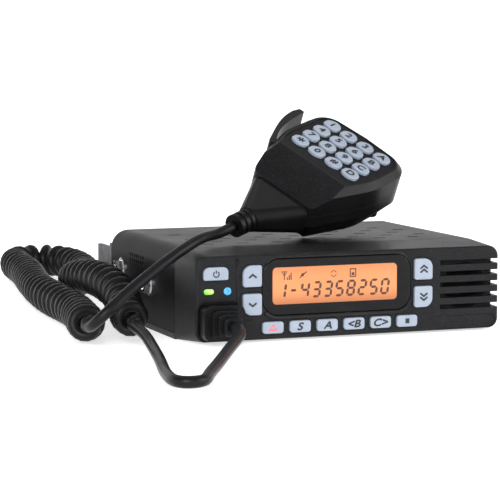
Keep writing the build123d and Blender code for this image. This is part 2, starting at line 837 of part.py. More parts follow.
with BuildPart() as mic_rear_case:
    with BuildSketch(mic.offset(mic_parting)):
        add(mic_outline(0))
    extrude(amount=-mic_back_straight)
    with BuildSketch(mic.offset(mic_parting - mic_back_straight)):
        add(mic_outline(0))
    extrude(amount=mic_back - mic_parting + mic_back_straight, taper=mic_back_taper)
    with BuildSketch(mic.offset(mic_parting)):
        add(mic_outline(mic_wall))
    extrude(amount=-mic_back_straight, mode=Mode.SUBTRACT)
    with BuildSketch(mic.offset(mic_parting - mic_back_straight)):
        add(mic_outline(mic_wall))
    extrude(amount=mic_back - mic_parting + mic_back_straight + mic_wall, taper=mic_back_taper, mode=Mode.SUBTRACT)
    with BuildSketch(mic.offset(mic_back)):
        with Locations(*mic_screw_places):
            Circle(mic_screw_head_r + 1.6)
    extrude(amount=mic_screw_length - mic_screw_head_t + 1)
    with BuildSketch(mic.offset(mic_back)):
        with Locations(*mic_screw_places):
            Circle(mic_screw_head_r + fit_gap)
    extrude(amount=mic_screw_head_t + fit_gap, mode=Mode.SUBTRACT)
    with BuildSketch(mic.offset(mic_back)):
        with Locations(*mic_screw_places):
            Circle(mic_screw_r + fit_gap)
        with Locations(stud_place):
            Circle(mic_screw_r)
    extrude(amount=mic_screw_length + 3, mode=Mode.SUBTRACT)
keep("mic_rear_case", mic_rear_case)

with BuildPart() as mic_case_screws:
    with BuildSketch(mic.offset(mic_back + mic_screw_head_t)):
        with Locations(*mic_screw_places):
            Circle(mic_screw_head_r)
    extrude(amount=-mic_screw_head_t + fit_gap)
    with BuildSketch(mic.offset(mic_back + mic_screw_head_t)):
        with Locations(*mic_screw_places):
            Circle(mic_screw_r)
    extrude(amount=mic_screw_length)
keep("mic_case_screws", mic_case_screws)

with BuildPart() as mic_hanger_stud:
    with BuildSketch(mic.offset(mic_back)):
        with Locations(stud_place):
            Circle(stud_neck_r)
    extrude(amount=-stud_neck_t)
    with BuildSketch(mic.offset(mic_back - stud_neck_t)):
        with Locations(stud_place):
            Circle(stud_head_r)
    extrude(amount=-stud_head_t)
    fillet(mic_hanger_stud.faces().sort_by(Axis(mic.origin, mic.z_dir))[0].edges(), 1)
    with BuildSketch(mic.offset(mic_back)):
        with Locations(stud_place):
            Circle(mic_screw_r - 0.05)
    extrude(amount=mic_wall + 3)
keep("mic_hanger_stud", mic_hanger_stud)

collar_length = collar_ribs * collar_rib + (collar_ribs - 1) * collar_groove
with BuildPart() as mic_boot:
    with BuildSketch(mic_end):
        RectangleRounded(boot_w, boot_h, 5)
    with BuildSketch(mic_end.offset(boot_length)):
        RectangleRounded(boot_end, boot_end, boot_end / 2 - 0.1)
    loft(ruled=True)
    with BuildSketch(mic_end.offset(boot_length)):
        Circle(collar_groove_r)
    extrude(amount=collar_length)
    for rib in range(collar_ribs):
        with BuildSketch(mic_end.offset(boot_length + rib * (collar_rib + collar_groove))):
            Circle(collar_r)
        extrude(amount=collar_rib)
keep("mic_boot", mic_boot)

with BuildPart() as ptt_lever:
    px, py = ptt_pivot
    with BuildSketch(mic.offset(ptt_low)):
        with BuildLine():
            outer = Spline((px - 2.1, py - 0.5), (-36.6, -6), (-39.4, 2.5), (-40.4, 10))
            Line(outer @ 1, (-39.6, 14.6))
            Line((-39.6, 14.6), (-36.6, 14.6))
            inner = Spline((-36.6, 14.6), (-35.8, 7), (-34.4, -2), (px + 0.2, py + 2.1))
            Line(inner @ 1, outer @ 0)
        make_face()
    extrude(amount=ptt_high - ptt_low)
    with BuildSketch(mic.offset(ptt_low)):
        with Locations(ptt_pivot):
            Circle(ptt_hub_r)
    extrude(amount=ptt_high - ptt_low)
keep("ptt_lever", ptt_lever)

# ---------------------------------------------------------------- plug and cord
seat = front.offset(-jack_recess_depth + 0.1)
with BuildPart() as mic_plug:
    with BuildSketch(seat.offset(plug_in_boot)):
        with Locations((jack_x, jack_z)):
            Rectangle(plug_w, plug_h)
    extrude(amount=-plug_length)
    fillet(mic_plug.edges().filter_by(Axis.Y), 0.4)
keep("mic_plug", mic_plug)

boot_reach = sum(step[3] for step in plug_boot_steps)
with BuildPart() as plug_boot:
    reach = 0
    for width, height, corner, length in plug_boot_steps:
        with BuildSketch(seat.offset(reach)):
            with Locations((jack_x, jack_z)):
                RectangleRounded(width, height, corner)
        extrude(amount=length)
        reach += length
    fillet(plug_boot.faces().filter_by(Axis.Y).sort_by(Axis.Y)[0].edges(), 0.8)
    with BuildSketch(seat):
        with Locations((jack_x, jack_z)):
            Rectangle(plug_w + plug_gap, plug_h + plug_gap)
    extrude(amount=plug_in_boot + 0.1, mode=Mode.SUBTRACT)
keep("plug_boot", plug_boot)


def rounded_path(points, biggest):
    """Straight runs joined by tangent arcs, each as large as its two runs allow, with their radii."""
    points = [Vector(*p) for p in points]
    radii = []
    for before, corner, after in zip(points, points[1:], points[2:]):
        run_in, run_out = corner - before, after - corner
        half_turn = math.radians(run_in.get_angle(run_out)) / 2
        radii.append(min(biggest, 0.45 * min(run_in.length, run_out.length) / math.tan(half_turn)))
    return points, radii


def tube(name, points, radius, biggest=400):
    """A cord's plain solid along its route."""
    points, radii = rounded_path(points, biggest)
    with BuildPart() as solid:
        with BuildLine() as path:
            FilletPolyline(*points, radius=radii)
        with BuildSketch(Plane(origin=path.wire() @ 0, z_dir=path.wire() % 0)):
            Circle(radius)
        sweep(path=path.wire())
    share = solid.part.volume / (math.pi * radius**2 * path.wire().length)
    print(f"{name}: {path.wire().length:.0f} long, tightest arc {min(radii):.1f}, volume share {share:.4f}")
    keep(name, solid)


floor_z = cord_r + cord_clear
coil_z = coil_r + cord_clear
plug_lead_route = [
    (jack_x, front_y + jack_recess_depth - 0.1 - boot_reach, jack_z),
    (jack_x, -94.0, jack_z),
    (-78.5, -113.0, 7.4),
    (-94.0, -139.5, 4.6),
    (-106.0, -160.0, 3.2),
    (-113.5, -176.0, floor_z),
    (-125.5, -174.0, floor_z),
    (-122.0, -150.0, floor_z),
    (-113.0, -117.0, floor_z),
    (-107.5, -90.0, 4.4),
    (-105.5, -72.0, 8.6),
    (-105.8, -56.0, 11.0),
]
coil_route = [
    (-106.0, -58.0, coil_z),
    (-102.0, -34.0, 12.5),
    (-96.5, -6.0, 18.5),
    (-95.0, 24.0, 21.5),
    (-94.5, 55.0, 21.0),
    (-93.0, 87.0, 16.5),
    (-82.0, 120.0, 11.0),
    (-67.0, 152.0, coil_z),
    (-58.5, 186.0, coil_z),
    (-57.5, 218.0, coil_z),
    (-66.0, 240.0, coil_z),
    (-84.0, 239.0, coil_z),
    (-91.0, 217.0, coil_z),
    (-93.0, 186.0, coil_z),
    (-99.0, 152.0, coil_z),
    (-106.0, 116.0, coil_z),
    (-111.0, 80.0, coil_z),
    (-113.0, 44.0, coil_z),
    (-114.5, 8.0, coil_z),
    (-121.0, -28.0, coil_z),
    (-127.5, -62.0, coil_z),
]
mic_lead_end = mic.from_local_coords((0, mic_waist - boot_length - collar_length - 0.3, boot_axis))
mic_lead_route = [
    (-125.5, -60.0, 13.0),
    (-123.0, -64.0, 17.5),
    (-114.0, -62.5, 24.0),
    (-102.0, -59.5, 31.9),
    (-88.0, -55.0, 40.2),
    (-73.5, -48.5, 47.0),
    (-63.5, -38.5, 48.6),
    tuple(mic.from_local_coords((0, mic_waist - boot_length - collar_length - 11, boot_axis))),
    tuple(mic_lead_end),
]
tube("cord_lead_plug", plug_lead_route, cord_r)
tube("cord_coil", coil_route, coil_r)
tube("cord_lead_mic", mic_lead_route, cord_r)
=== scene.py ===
import json
import math

import bmesh
import bpy
from mathutils import Matrix, Vector
from mathutils.geometry import tessellate_polygon


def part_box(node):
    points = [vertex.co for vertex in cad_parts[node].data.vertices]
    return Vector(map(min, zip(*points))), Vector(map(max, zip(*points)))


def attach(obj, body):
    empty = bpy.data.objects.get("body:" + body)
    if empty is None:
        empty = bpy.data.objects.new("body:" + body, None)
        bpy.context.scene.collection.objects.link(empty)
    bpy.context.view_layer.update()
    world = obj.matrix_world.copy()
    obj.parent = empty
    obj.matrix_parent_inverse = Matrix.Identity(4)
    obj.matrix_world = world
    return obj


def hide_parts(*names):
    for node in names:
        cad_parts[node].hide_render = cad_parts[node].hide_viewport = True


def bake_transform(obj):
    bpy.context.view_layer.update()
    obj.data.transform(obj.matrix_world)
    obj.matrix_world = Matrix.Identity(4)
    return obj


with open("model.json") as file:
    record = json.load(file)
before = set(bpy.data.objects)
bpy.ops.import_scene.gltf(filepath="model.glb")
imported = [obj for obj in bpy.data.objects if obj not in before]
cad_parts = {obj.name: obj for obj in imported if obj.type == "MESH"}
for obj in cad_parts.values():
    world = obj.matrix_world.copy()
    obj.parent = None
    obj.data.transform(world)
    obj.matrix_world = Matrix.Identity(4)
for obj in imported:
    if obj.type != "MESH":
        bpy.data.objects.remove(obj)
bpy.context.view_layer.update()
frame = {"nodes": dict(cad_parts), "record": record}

MM = 0.001
LAYER = 0.000002
SHEEN = 0.14


# ------------------------------------------------------------------ shader sums
class Wire:
    """A socket that takes part in sums: each sum adds its Math node."""

    def __init__(self, finish, socket):
        self.finish = finish
        self.socket = socket

    def math(self, operation, *terms):
        return self.finish.node("ShaderNodeMath", {"operation": operation}, dict(enumerate(terms)))

    def __add__(self, other):
        return self.math("ADD", self, other)

    def __radd__(self, other):
        return self.math("ADD", other, self)

    def __sub__(self, other):
        return self.math("SUBTRACT", self, other)

    def __rsub__(self, other):
        return self.math("SUBTRACT", other, self)

    def __mul__(self, other):
        return self.math("MULTIPLY", self, other)

    def __rmul__(self, other):
        return self.math("MULTIPLY", other, self)

    def __pow__(self, other):
        return self.math("POWER", self, other)

    def rise(self, low, high):
        """0 below the low value, 1 above the high one, smooth between."""
        return self.finish.node(
            "ShaderNodeMapRange",
            {"interpolation_type": "SMOOTHSTEP"},
            {"Value": self, "From Min": low, "From Max": high},
        )


class Finish:
    """A procedural material around one Principled shader."""

    def __init__(self, name, colour, roughness, **plain):
        self.material = bpy.data.materials.new(name)
        self.material.use_nodes = True
        self.tree = self.material.node_tree
        self.shader = self.tree.nodes["Principled BSDF"]
        self.put("Base Color", (*colour, 1.0))
        self.put("Roughness", roughness)
        for socket, value in plain.items():
            self.put(socket.replace("_", " "), value)
        self.material.diffuse_color = (*colour, 1.0)

    def feed(self, socket, value):
        if isinstance(value, Wire):
            self.tree.links.new(value.socket, socket)
        else:
            socket.default_value = value

    def put(self, name, value):
        self.feed(self.shader.inputs[name], value)

    def node(self, kind, settings, inputs, output=0):
        made = self.tree.nodes.new(kind)
        for name, value in settings.items():
            setattr(made, name, value)
        for name, value in inputs.items():
            self.feed(made.inputs[name], value)
        return Wire(self, made.outputs[output])

    def place(self):
        return self.node("ShaderNodeTexCoord", {}, {}, "Object")

    def noise(self, size, detail=2.0, stretch=(1.0, 1.0, 1.0)):
        """Cloudy grain whose blotches are about this many metres across."""
        place = self.node(
            "ShaderNodeVectorMath",
            {"operation": "MULTIPLY"},
            {0: self.place(), 1: tuple(s / size for s in stretch)},
        )
        return self.node("ShaderNodeTexNoise", {}, {"Vector": place, "Scale": 1.0, "Detail": detail})

    def pebbles(self, size):
        """Rounded cells, as in a spark-eroded mould's grain."""
        return self.node(
            "ShaderNodeTexVoronoi",
            {"feature": "SMOOTH_F1"},
            {"Vector": self.place(), "Scale": 1.0 / size, "Smoothness": 0.6},
        )

    def facing(self, way):
        """How far the surface turns to a direction of the row frame."""
        return self.node(
            "ShaderNodeVectorMath",
            {"operation": "DOT_PRODUCT"},
            {0: self.node("ShaderNodeNewGeometry", {}, {}, "Normal"), 1: way},
            "Value",
        )

    def across(self, axis):
        """The position along one axis of the row frame, in metres."""
        return self.node("ShaderNodeSeparateXYZ", {}, {0: self.place()}, axis)

    def between(self, mask, first, second):
        """One colour where the mask is 0, the other where it is 1."""
        colours = [c if isinstance(c, Wire) else (*c, 1.0) for c in (first, second)]
        return self.node(
            "ShaderNodeMix", {"data_type": "RGBA"}, {0: mask, 6: colours[0], 7: colours[1]}, 2
        )

    def bump(self, height, depth, strength=1.0, edge=0.0):
        """Relief over the surface; an edge radius also softens the sharp edges."""
        inputs = {"Height": height, "Distance": depth, "Strength": strength}
        if edge:
            inputs["Normal"] = self.node("ShaderNodeBevel", {"samples": 4}, {"Radius": edge})
        self.put("Normal", self.node("ShaderNodeBump", {}, inputs))


def moulded(name, dark, light, roughness, grain, depth, fleck=0.35, edge=0.0005, **plain):
    """Grained plastic: fine pebbles, a few paler grains, more of them on upward faces as a painted
    highlight, and slow patches of polish.
    """
    finish = Finish(name, dark, roughness, Specular_IOR_Level=SHEEN, **plain)
    pebble = finish.pebbles(grain)
    speck = finish.noise(grain * 1.3).rise(0.52, 0.74)
    patch = finish.noise(0.02, 4.0)
    # Painted highlight: upward faces get more pale grains, standing for light falling on the tops and top
    # bevels.
    painted_top_highlight = finish.facing((0, 0, 1)).rise(0.1, 0.8)
    pale = speck * (fleck + painted_top_highlight * 0.5) + patch * 0.25
    finish.put("Base Color", finish.between(pale, dark, light))
    finish.put("Roughness", roughness + 0.16 * (patch - 0.5) - speck * 0.06)
    finish.bump(pebble + finish.noise(grain * 0.6) * 0.6, depth, 1.0, edge)
    return finish.material


def painted(name, dark, light, roughness):
    """Satin stoving paint on pressed sheet: faint orange peel and a little dust on top."""
    finish = Finish(name, dark, roughness, Specular_IOR_Level=0.03)
    peel = finish.noise(0.0011, 3.0)
    dust = finish.noise(0.0004).rise(0.6, 0.76) * finish.facing((0, 0, 1)).rise(0.2, 0.9)
    patch = finish.noise(0.03, 4.0)
    finish.put("Base Color", finish.between(patch * 0.3 + dust * 0.5, dark, light))
    finish.put("Roughness", roughness + 0.14 * (patch - 0.5) + dust * 0.1)
    finish.bump(peel, 0.00005, 0.7, 0.0006)
    return finish.material


def cast(name, dark, light, roughness, metallic=0.6):
    """Die-cast metal with its blasted skin."""
    finish = Finish(name, dark, roughness, Metallic=metallic)
    skin = finish.pebbles(0.0006)
    patch = finish.noise(0.006, 5.0)
    finish.put("Base Color", finish.between(patch.rise(0.3, 0.75), dark, light))
    finish.put("Roughness", roughness + 0.2 * (patch - 0.5))
    finish.bump(skin + patch, 0.00012, 1.0, 0.0008)
    return finish.material


def plated(name, colour, roughness, grain_way=(1.0, 1.0, 1.0)):
    """Bright plating with fine turning marks and a few dull spots."""
    finish = Finish(name, colour, roughness, Metallic=1.0)
    marks = finish.noise(0.0003, 2.0, grain_way)
    dull = finish.noise(0.004, 4.0).rise(0.45, 0.75)
    finish.put("Base Color", finish.between(dull * 0.35, colour, tuple(c * 0.6 for c in colour)))
    finish.put("Roughness", roughness + marks * 0.08 + dull * 0.12)
    finish.bump(marks, 0.00001, 0.6)
    return finish.material


def rubbery(name, dark, light, roughness, grain=0.0005):
    """Soft moulded rubber: matt, slightly dusty, faintly uneven."""
    finish = Finish(name, dark, roughness, Specular_IOR_Level=SHEEN)
    patch = finish.noise(0.009, 4.0)
    dust = finish.noise(grain).rise(0.55, 0.75)
    finish.put("Base Color", finish.between(patch * 0.4 + dust * 0.25, dark, light))
    finish.put("Roughness", roughness + 0.14 * (patch - 0.5))
    finish.bump(finish.noise(grain), 0.00003, 0.8, 0.0005)
    return finish.material


def key_cap(name):
    """Pale blue-grey key plastic, a little cloudy, darker where it turns down at its rim."""
    finish = Finish(
        name, (0.36, 0.41, 0.50), 0.34, Coat_Weight=0.25, Coat_Roughness=0.12, Subsurface_Weight=0.08
    )
    finish.shader.inputs["Subsurface Scale"].default_value = 0.001
    cloud = finish.noise(0.004, 3.0)
    speck = finish.noise(0.0003).rise(0.62, 0.75)
    pale = finish.between(cloud, (0.24, 0.28, 0.35), (0.29, 0.335, 0.41))
    finish.put("Base Color", finish.between(speck * 0.12, pale, (0.22, 0.25, 0.32)))
    finish.put("Roughness", 0.32 + cloud * 0.1)
    finish.bump(finish.noise(0.00035), 0.00001, 0.6, 0.0004)
    return finish.material


def clear_lens(name, colour, glow, strength):
    """A clear coloured lens, paler and lit from its heart."""
    finish = Finish(name, colour, 0.12, Coat_Weight=0.6, Coat_Roughness=0.04)
    heart = finish.noise(0.0022, 2.0)
    finish.put("Base Color", finish.between(heart.rise(0.35, 0.7), colour, glow))
    finish.put("Emission Color", finish.between(heart.rise(0.3, 0.7), colour, glow))
    finish.put("Emission Strength", strength)
    finish.bump(heart, 0.00002, 0.4)
    return finish.material


def smoked_window(name):
    """Glossy smoked acrylic with faint wipe marks."""
    finish = Finish(name, (0.004, 0.004, 0.0045), 0.1, Specular_IOR_Level=0.15)
    wipe = finish.noise(0.003, 4.0, (0.25, 1.0, 1.0))
    finish.put("Roughness", 0.1 + wipe.rise(0.45, 0.8) * 0.12)
    finish.put("Base Color", finish.between(wipe, (0.003, 0.003, 0.0035), (0.009, 0.009, 0.01)))
    finish.bump(wipe, 0.000004, 0.5)
    return finish.material


def amber_screen(name):
    """Backlit liquid crystal: amber, brighter along its middle, with a faint dot pitch."""
    finish = Finish(name, (0.84, 0.36, 0.12), 0.3, Coat_Weight=0.3, Coat_Roughness=0.1)
    height = finish.across("Z")
    lift = height.rise(0.017, 0.024) * (1 - height.rise(0.029, 0.0352) * 0.45)
    cloud = finish.noise(0.012, 2.0)
    amber = finish.between(lift * (0.75 + cloud * 0.4), (0.32, 0.10, 0.028), (0.52, 0.185, 0.06))
    finish.put("Base Color", amber)
    finish.put("Emission Color", amber)
    finish.put("Emission Strength", 0.32)
    finish.put("Roughness", 0.28 + 0.1 * cloud)
    finish.bump(finish.noise(0.0003), 0.000006, 0.5)
    return finish.material


def printed(name, colour, worn):
    """Screen-printed ink, a touch thinner in places."""
    finish = Finish(name, colour, 0.5)
    thin = finish.noise(0.0006, 3.0)
    finish.put("Base Color", finish.between(thin.rise(0.55, 0.8) * 0.5, colour, worn))
    finish.put("Roughness", 0.42 + thin * 0.2)
    finish.bump(thin, 0.000006, 0.5)
    return finish.material


def laminate(name):
    """Green board laminate with its weave and broad copper areas."""
    finish = Finish(name, (0.03, 0.16, 0.07), 0.4, Coat_Weight=0.3)
    weave = finish.noise(0.0008, 2.0, (1.0, 0.2, 1.0))
    track = finish.noise(0.004, 1.0).rise(0.48, 0.52)
    finish.put("Base Color", finish.between(track * 0.5, (0.02, 0.12, 0.05), (0.05, 0.26, 0.1)))
    finish.put("Roughness", 0.35 + 0.15 * weave)
    finish.bump(track + weave * 0.2, 0.00003)
    return finish.material


def pale_floor(name):
    """A nearly white studio floor that glows a little."""
    finish = Finish(name, (0.88, 0.88, 0.88), 0.6)
    finish.put("Emission Color", (1, 1, 1, 1))
    finish.put("Emission Strength", 0.62)
    cloud = finish.noise(0.4, 3.0)
    finish.put("Base Color", finish.between(cloud, (0.86, 0.86, 0.86), (0.9, 0.9, 0.9)))
    finish.put("Roughness", 0.55 + 0.1 * cloud)
    return finish.material


ink_dark = printed("dark legend ink", (0.006, 0.008, 0.014), (0.03, 0.035, 0.05))
ink_red = printed("red legend ink", (0.75, 0.1, 0.11), (0.8, 0.3, 0.3))
crystal_dark = printed("dark crystal segments", (0.06, 0.018, 0.008), (0.12, 0.04, 0.015))
jacket = rubbery("cord jacket", (0.0045, 0.0045, 0.005), (0.014, 0.014, 0.016), 0.36, 0.0007)
screen_face = amber_screen("amber screen")

finishes = {
    "cast_case": cast("black cast case", (0.003, 0.003, 0.0035), (0.009, 0.009, 0.01), 0.5, 0.2),
    "bare_casting": cast("grey cast fins", (0.07, 0.07, 0.08), (0.16, 0.16, 0.175), 0.6, 0.4),
    "cover_paint": painted("cover paint", (0.0022, 0.0022, 0.0025), (0.013, 0.013, 0.015), 0.38),
    "panel_plastic": moulded(
        "panel plastic", (0.004, 0.0041, 0.0046), (0.036, 0.037, 0.041), 0.42, 0.0005, 0.00007
    ),
    "display_lens": smoked_window("smoked window"),
    "lcd_glass": amber_screen("display glass"),
    "green_lens": clear_lens("green lens", (0.12, 0.45, 0.03), (0.42, 0.75, 0.15), 0.25),
    "blue_lens": clear_lens("blue lens", (0.01, 0.16, 0.5), (0.06, 0.4, 0.8), 0.25),
    "mat_rubber": rubbery("key mat", (0.2, 0.2, 0.21), (0.3, 0.3, 0.31), 0.6),
    "board_laminate": laminate("board laminate"),
    "tin_plate": plated("tin plate", (0.6, 0.6, 0.62), 0.3),
    "module_metal": plated("machined module", (0.55, 0.55, 0.56), 0.32),
    "speaker_parts": painted("speaker paint", (0.008, 0.008, 0.008), (0.03, 0.03, 0.03), 0.5),
    "socket_plastic": moulded(
        "socket plastic", (0.01, 0.01, 0.011), (0.04, 0.04, 0.042), 0.4, 0.0004, 0.00002
    ),
    "plated_screw": plated("bright screw plate", (0.72, 0.72, 0.73), 0.16),
    "socket_nickel": plated("nickel plate", (0.66, 0.63, 0.57), 0.2),
    "key_plastic": key_cap("key plastic"),
    "mic_plastic": moulded(
        "hand microphone plastic", (0.0032, 0.0032, 0.0035), (0.022, 0.0225, 0.025), 0.38, 0.0005, 0.00004
    ),
    "bezel_plastic": moulded(
        "keypad surround", (0.004, 0.004, 0.0045), (0.016, 0.016, 0.018), 0.42, 0.0005, 0.00003
    ),
    "capsule_can": plated("capsule can", (0.6, 0.6, 0.6), 0.3),
    "boot_rubber": rubbery("boot rubber", (0.003, 0.003, 0.0033), (0.011, 0.011, 0.0125), 0.38),
    "lever_plastic": moulded(
        "lever plastic", (0.0035, 0.0035, 0.004), (0.018, 0.018, 0.02), 0.34, 0.0005, 0.00003
    ),
    "plug_clear": moulded("plug plastic", (0.3, 0.3, 0.32), (0.45, 0.45, 0.47), 0.2, 0.001, 0.00001),
    "cord_jacket": jacket,
}
slot_of = {part["node"]: part["material_slot"] for part in frame["record"]["subparts"]}
for node, piece in frame["nodes"].items():
    piece.data.materials.clear()
    piece.data.materials.append(finishes[slot_of[node]])


# ------------------------------------------------------------------ meshes
def finished(name, mesh, body, material):
    """A new piece that rides on a body."""
    piece = bpy.data.objects.new(name, mesh)
    bpy.context.scene.collection.objects.link(piece)
    mesh.materials.clear()
    mesh.materials.append(material)
    if body:
        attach(piece, body)
    return piece


def plates(outlines, thick):
    """Flat plates from outlines in their own plane, all of one thickness."""
    shape = bmesh.new()
    for outline in outlines:
        count = len(outline)
        rims = [[shape.verts.new((x, y, z)) for x, y in outline] for z in (0, thick)]
        for tri in tessellate_polygon([[Vector((x, y, 0)) for x, y in outline]]):
            shape.faces.new([rims[1][i] for i in tri])
            shape.faces.new([rims[0][i] for i in reversed(tri)])
        for i in range(count):
            j = (i + 1) % count
            shape.faces.new([rims[0][i], rims[0][j], rims[1][j], rims[1][i]])
    bmesh.ops.recalc_face_normals(shape, faces=shape.faces)
    mesh = bpy.data.meshes.new("plates")
    shape.to_mesh(mesh)
    shape.free()
    return mesh


def ribbon(points, width, closed=False):
    """One outline per run of a stroke, mitred where the runs meet."""
    count = len(points)
    sides = []
    for i, point in enumerate(points):
        here = Vector(point)
        before = Vector(points[i - 1]) if closed or i else None
        after = Vector(points[(i + 1) % count]) if closed or i < count - 1 else None
        ways = [(b - a).normalized() for a, b in ((before, here), (here, after)) if a and b]
        normals = [Vector((-way.y, way.x)) for way in ways]
        middle = sum(normals, Vector((0, 0))).normalized()
        reach = width / 2 / middle.dot(normals[0])
        sides.append((here + middle * reach, here - middle * reach))
    runs = [(i, (i + 1) % count) for i in range(count if closed else count - 1)]
    return [[sides[i][0], sides[j][0], sides[j][1], sides[i][1]] for i, j in runs]


def arc(centre, radius, start, end, steps=24):
    """Points round a circle, from one angle to another in degrees."""
    turns = [math.radians(start + (end - start) * i / steps) for i in range(steps + 1)]
    return [(centre[0] + radius * math.cos(t), centre[1] + radius * math.sin(t)) for t in turns]


def rounded(width, height, radius, centre=(0, 0)):
    """A rectangle's outline with round corners."""
    outline = []
    for quarter, (sx, sy) in enumerate(((1, 1), (-1, 1), (-1, -1), (1, -1))):
        corner = (centre[0] + sx * (width / 2 - radius), centre[1] + sy * (height / 2 - radius))
        outline += arc(corner, radius, 90 * quarter, 90 * quarter + 90, 8)
    return outline


def thickened(mesh, weight):
    """The same strokes struck again a little to each side, so they print bolder."""
    shape = bmesh.new()
    for level, (x, y) in enumerate(((0, 0), (-1, 0), (1, 0), (0, -1), (0, 1))):
        copy = mesh.copy()
        copy.transform(Matrix.Translation((x * weight, y * weight, level * LAYER)))
        shape.from_mesh(copy)
        bpy.data.meshes.remove(copy)
    shape.to_mesh(mesh)
    shape.free()
    return mesh


def lettering(text, size, thick, slant=0.0, stretch=1.0, weight=0.0):
    """Raised characters centred on their own plane's origin."""
    curve = bpy.data.curves.new("lettering", "FONT")
    curve.body = text
    curve.size = size
    curve.shear = slant
    curve.extrude = thick / 2
    maker = bpy.data.objects.new("lettering", curve)
    mesh = bpy.data.meshes.new_from_object(maker)
    bpy.data.objects.remove(maker)
    low = Vector([min(v.co[i] for v in mesh.vertices) for i in range(3)])
    high = Vector([max(v.co[i] for v in mesh.vertices) for i in range(3)])
    mesh.transform(Matrix.Diagonal((stretch, 1, 1, 1)) @ Matrix.Translation(-(low + high) / 2))
    mesh.transform(Matrix.Translation((0, 0, thick / 2)))
    return thickened(mesh, weight)


def plane(origin, across, out):
    """A frame whose third axis points out of a face."""
    out = Vector(out).normalized()
    across = Vector(across)
    across = (across - out * across.dot(out)).normalized()
    axes = Matrix((across, out.cross(across), out)).transposed().to_4x4()
    return Matrix.Translation(origin) @ axes


front = plane((0, 0, 0), (1, 0, 0), (0, -1, 0))
microphone = plane((0.021, -0.0005, 0.0852), (0.506, -0.722, -0.472), (0.0195, -0.5375, 0.8431))


def face_of(node, base):
    """The frame at the middle of a node's outermost face, as seen square to a plane."""
    away = base.inverted()
    points = [away @ v.co for v in frame["nodes"][node].data.vertices]
    low = [min(p[i] for p in points) for i in range(3)]
    high = [max(p[i] for p in points) for i in range(3)]
    middle = ((low[0] + high[0]) / 2, (low[1] + high[1]) / 2, high[2])
    return base @ Matrix.Translation(middle)


# ------------------------------------------------------------------ legends
INK = 0.00004
STROKE = 0.9 * MM


def legend(node, mesh, base, material=ink_dark):
    """Ink on a key's face, which moves with the key."""
    mesh.transform(face_of(node, base))
    finished(node + "_legend", mesh, node, material)


def scaled(points, size):
    """The same flat points at another size."""
    return [(x * size, y * size) for x, y in points]


def chevrons(count, way):
    """One or two open arrow heads, pointing up (1) or down (-1)."""
    head = [(-1.9, -0.75 * way), (0, 0.75 * way), (1.9, -0.75 * way)]
    rows = [0.0] if count == 1 else [-0.95, 0.95]
    return [q for dy in rows for q in ribbon([(x * MM, (y + dy) * MM) for x, y in head], STROKE)]


power_mark = ribbon(scaled(arc((0, -0.15), 1.35, 125, 415), MM), 0.6 * MM)
power_mark += ribbon([(0, 0.2 * MM), (0, 1.75 * MM)], 0.6 * MM)
legend("key_power", plates(power_mark, INK), front)
legend("key_up", plates(chevrons(1, 1), INK), front)
legend("key_down", plates(chevrons(1, -1), INK), front)
legend("key_double_up", plates(chevrons(2, 1), INK), front)
legend("key_double_down", plates(chevrons(2, -1), INK), front)
alert = ribbon(scaled([(-1.75, -1.15), (1.75, -1.15), (0, 1.35)], MM), 0.5 * MM, closed=True)
legend("key_function_1", plates(alert, INK), front, ink_red)
for number, word in ((2, "S"), (3, "A"), (4, "<B"), (5, "C>")):
    letters = lettering(word, 4.9 * MM, INK, 0.25, 1.2, 0.2 * MM)
    legend(f"key_function_{number}", letters, front)
block = [(-1.05, -1.2), (1.05, -1.2), (1.05, 1.2), (-1.05, 1.2)]
legend("key_function_6", plates([scaled(block, MM)], INK), front)
for name in ("1", "2", "3", "a", "4", "5", "6", "b", "7", "8", "9", "c", "star", "0", "hash", "d"):
    sign = {"star": "*", "hash": "#"}.get(name, name.upper())
    size = 7.6 * MM if name == "star" else 4.7 * MM
    legend(f"mic_key_{name}", lettering(sign, size, INK, 0.0, 1.35, 0.22 * MM), microphone)

# ------------------------------------------------------------------ display
SCREEN_W = 63.5 * MM
SCREEN_H = 17.4 * MM
SCREEN_AT = (-8.2 * MM, 26.2 * MM)
window_low, window_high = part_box("display_window")
GLASS_FRONT = -window_low[1]
SHEET = 0.00006


def on_window(mesh, layer):
    """A flat mesh laid on the window, so many sheets up."""
    mesh.transform(front @ Matrix.Translation((*SCREEN_AT, GLASS_FRONT + layer * SHEET)))
    return mesh


screen = plates([rounded(SCREEN_W, SCREEN_H, 2.0 * MM)], SHEET)
finished("amber_screen", on_window(screen, 0), "radio", screen_face)

DIGIT_W = 3.3
DIGIT_H = 6.6
BAR = 1.15
BAR_GAP = 0.16
LEAN = 0.14
SEGMENTS = {
    "a": ((0, 2), (1, 2)),
    "b": ((1, 2), (1, 1)),
    "c": ((1, 1), (1, 0)),
    "d": ((0, 0), (1, 0)),
    "e": ((0, 1), (0, 0)),
    "f": ((0, 2), (0, 1)),
    "g": ((0, 1), (1, 1)),
}
LIT = {
    "0": "abcdef",
    "1": "bc",
    "2": "abged",
    "3": "abgcd",
    "4": "fgbc",
    "5": "afgcd",
    "6": "afgedc",
    "7": "abc",
    "8": "abcdefg",
    "9": "abcdfg",
    "-": "g",
}


def segment_bar(start, end):
    """A long six-sided bar between two corners of a digit, short of both."""
    a = Vector((start[0] * DIGIT_W, start[1] * DIGIT_H / 2))
    b = Vector((end[0] * DIGIT_W, end[1] * DIGIT_H / 2))
    way = (b - a).normalized()
    side = Vector((-way.y, way.x)) * BAR / 2
    a += way * BAR_GAP
    b -= way * BAR_GAP
    tip = way * BAR / 2
    return [a, a + tip - side, b - tip - side, b, b - tip + side, a + tip + side]


def digits(text, left, base, pitch):
    """Outlines of the lit bars of a row of leaning seven-bar digits."""
    bars = []
    for place, sign in enumerate(text):
        for name in LIT[sign]:
            corners = segment_bar(*SEGMENTS[name])
            shift = left + place * pitch
            bars.append([((p.x + p.y * LEAN + shift) * MM, (p.y + base) * MM) for p in corners])
    return bars


